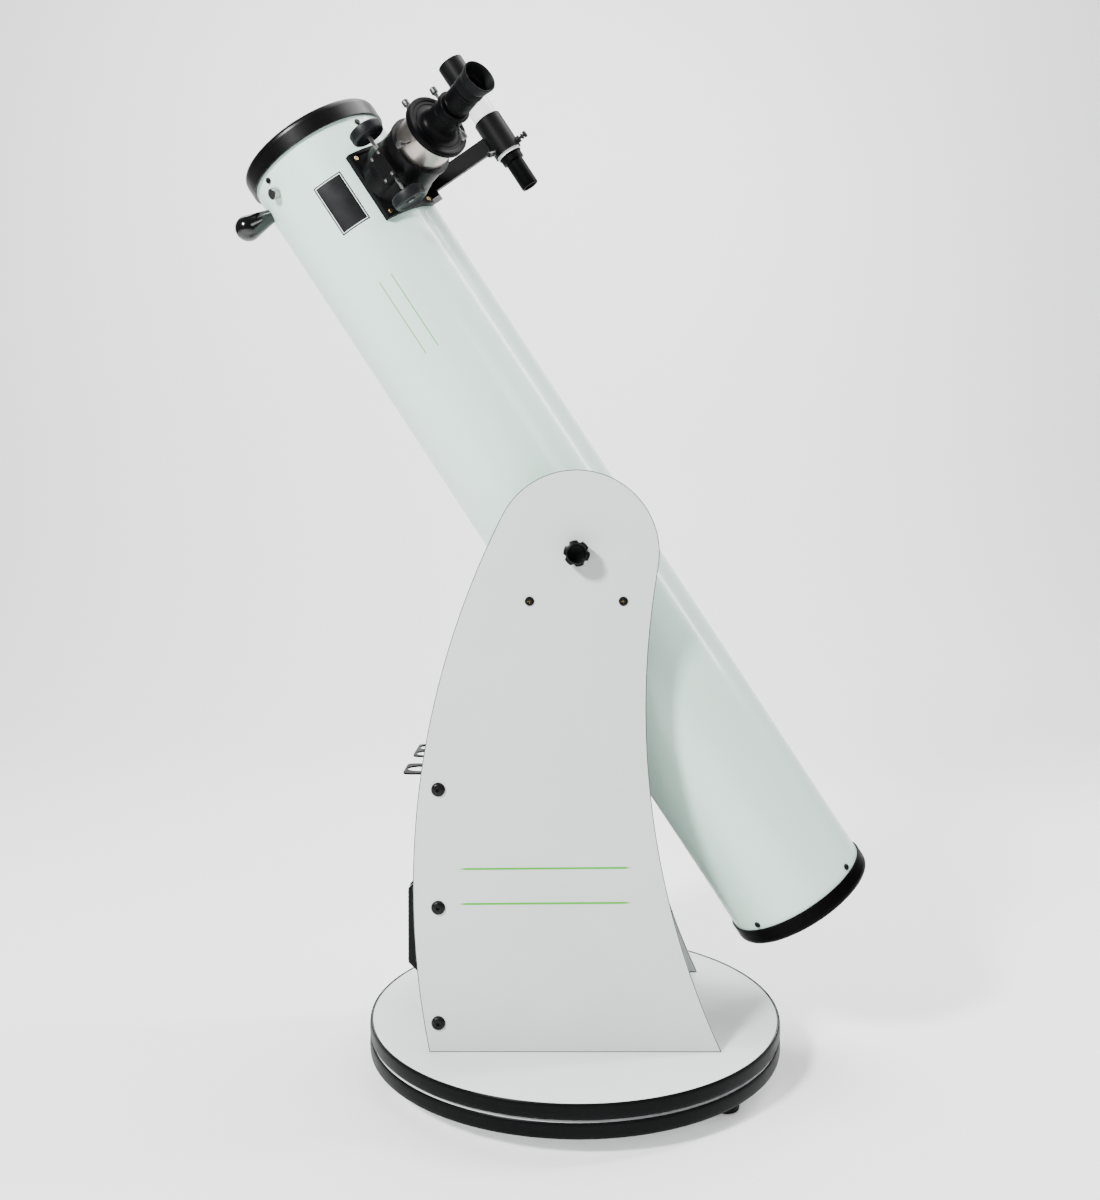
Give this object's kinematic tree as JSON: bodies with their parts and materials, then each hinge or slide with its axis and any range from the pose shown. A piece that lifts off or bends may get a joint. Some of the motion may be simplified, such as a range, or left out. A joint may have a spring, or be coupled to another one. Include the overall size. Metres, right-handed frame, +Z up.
{
  "type": "newtonian reflector telescope",
  "caption": "Reflector telescope with a white tube, rack and pinion focuser and finder, carried on side bearings in a rocker box that turns on a round ground board.",
  "frame": {"origin": "on the floor, on the azimuth pivot's axis", "axes": "+Z up along the azimuth axis; the altitude axis lies along Y through both side bearings; the tube's front end leans towards -X"},
  "size_m": [0.789, 0.516, 1.2607],
  "materials": {
    "white_laminate": "as made",
    "edge_band": "as made",
    "black_rubber": "as made",
    "zinc_steel": "as made",
    "black_steel": "as made",
    "nylon": "as made",
    "black_plastic": "as made",
    "white_enamel": "as made",
    "crinkle_black": "as made",
    "bearing_plastic": "as made",
    "mirror_glass": "as made",
    "black_aluminium": "as made",
    "steel": "as made",
    "chrome": "as made",
    "lens": "as made",
    "knob_rubber": "as made"
  },
  "bodies": {
    "ground": {"ground_board": "white_laminate", "ground_edge_band": "edge_band", "feet": "black_rubber", "foot_screws": "zinc_steel", "azimuth_pads": "nylon", "azimuth_pivot": "zinc_steel"},
    "rocker": {"rocker_board": "white_laminate", "rocker_edge_band": "edge_band", "side_board_left": "white_laminate", "side_board_right": "white_laminate", "front_board": "white_laminate", "front_board_bolts": "black_steel", "altitude_posts": "nylon", "board_screws": "zinc_steel", "carry_handle": "black_plastic", "eyepiece_rack": "black_steel"},
    "tube": {"optical_tube": "white_enamel", "front_ring": "crinkle_black", "rear_ring": "crinkle_black", "tube_screws": "black_steel", "side_bearing_left": "bearing_plastic", "side_bearing_right": "bearing_plastic", "primary_mirror": "mirror_glass", "mirror_cell": "black_aluminium", "cell_frame": "black_aluminium", "mirror_clips": "black_plastic", "collimation_springs": "steel", "spider": "black_aluminium", "spider_nuts": "chrome", "secondary_holder": "black_aluminium", "secondary_mirror": "mirror_glass", "secondary_screws": "black_steel", "focuser_body": "black_aluminium", "pinion_cover": "black_aluminium", "focuser_screws": "steel", "finder_shoe": "black_aluminium", "tube_handle": "black_plastic"},
    "focus_wheel": {"focus_shaft": "steel", "focus_knobs": "knob_rubber"},
    "drawtube": {"drawtube": "chrome", "eyepiece_adapter": "black_aluminium"},
    "drawtube_screw_1": {"drawtube_thumbscrew_1": "steel"},
    "drawtube_screw_2": {"drawtube_thumbscrew_2": "steel"},
    "adapter_screw_1": {"adapter_thumbscrew_1": "steel"},
    "adapter_screw_2": {"adapter_thumbscrew_2": "steel"},
    "eyepiece": {"eyepiece": "black_aluminium", "eyecup": "black_rubber", "eyepiece_lens": "lens"},
    "finder": {"finder_bracket": "black_aluminium", "finder_tube": "white_enamel", "finder_hood": "black_aluminium", "finder_eyepiece": "black_aluminium", "finder_lenses": "lens", "finder_adjusters": "black_steel", "finder_plunger": "steel"},
    "tension_left": {"tension_knob_left": "black_plastic"},
    "tension_right": {"tension_knob_right": "black_plastic"},
    "collimation_1": {"collimation_knob_1": "black_plastic"},
    "collimation_2": {"collimation_knob_2": "black_plastic"},
    "collimation_3": {"collimation_knob_3": "black_plastic"}
  },
  "joints": [
    {"name": "azimuth", "type": "hinge", "parent": "ground", "child": "rocker", "pos_m": [0, 0, 0.0594], "axis": [0, 0, 1], "continuous": true},
    {"name": "altitude", "type": "hinge", "parent": "rocker", "child": "tube", "pos_m": [0, 0, 0.6422], "axis": [0, 1, 0], "range_deg": [-56.7, 33.3]},
    {"name": "focus_drive", "type": "hinge", "parent": "tube", "child": "focus_wheel", "pos_m": [-0.22046, -0.11918, 1.09561], "axis": [-0.549, 0, 0.8358], "range_deg": [-503.34, 151.21]},
    {"name": "drawtube_slide", "type": "slide", "parent": "tube", "child": "drawtube", "axis": [0.591, -0.7071, 0.3882], "range_m": [-0.0125, 0.042]},
    {"name": "drawtube_screw_1_turn", "type": "hinge", "parent": "drawtube", "child": "drawtube_screw_1", "pos_m": [-0.19592, -0.12162, 1.16198], "axis": [-0.549, 0, 0.8358], "range_deg": [-720, 0]},
    {"name": "drawtube_screw_2_turn", "type": "hinge", "parent": "drawtube", "child": "drawtube_screw_2", "pos_m": [-0.19768, -0.15132, 1.11057], "axis": [-0.591, -0.7071, -0.3882], "range_deg": [-720, 0]},
    {"name": "adapter_screw_1_turn", "type": "hinge", "parent": "drawtube", "child": "adapter_screw_1", "pos_m": [-0.15999, -0.15344, 1.16524], "axis": [-0.549, 0, 0.8358], "range_deg": [-720, 0]},
    {"name": "adapter_screw_2_turn", "type": "hinge", "parent": "drawtube", "child": "adapter_screw_2", "pos_m": [-0.13254, -0.15344, 1.12345], "axis": [0.549, 0, -0.8358], "range_deg": [-720, 0]},
    {"name": "eyepiece_slide", "type": "slide", "parent": "drawtube", "child": "eyepiece", "axis": [0.591, -0.7071, 0.3882], "range_m": [0, 0.028]},
    {"name": "finder_slide", "type": "slide", "parent": "tube", "child": "finder", "axis": [0.549, 0, -0.8358], "range_m": [0, 0.03]},
    {"name": "tension_left_turn", "type": "hinge", "parent": "tube", "child": "tension_left", "pos_m": [0, -0.14, 0.6422], "axis": [0, -1, 0], "range_deg": [-360, 0]},
    {"name": "tension_right_turn", "type": "hinge", "parent": "tube", "child": "tension_right", "pos_m": [0, 0.14, 0.6422], "axis": [0, 1, 0], "range_deg": [-360, 0]},
    {"name": "collimation_1_turn", "type": "hinge", "parent": "tube", "child": "collimation_1", "pos_m": [0.285, 0.062, 0.20833], "axis": [-0.549, 0, 0.8358], "range_deg": [-360, 360]},
    {"name": "collimation_2_turn", "type": "hinge", "parent": "tube", "child": "collimation_2", "pos_m": [0.24012, -0.031, 0.17885], "axis": [-0.549, 0, 0.8358], "range_deg": [-360, 360]},
    {"name": "collimation_3_turn", "type": "hinge", "parent": "tube", "child": "collimation_3", "pos_m": [0.32987, -0.031, 0.23781], "axis": [-0.549, 0, 0.8358], "range_deg": [-360, 360]}
  ],
  "couplings": [
    {"joint": "focus_drive", "follows": "drawtube_slide", "rad_per_m": -208.33}
  ]
}
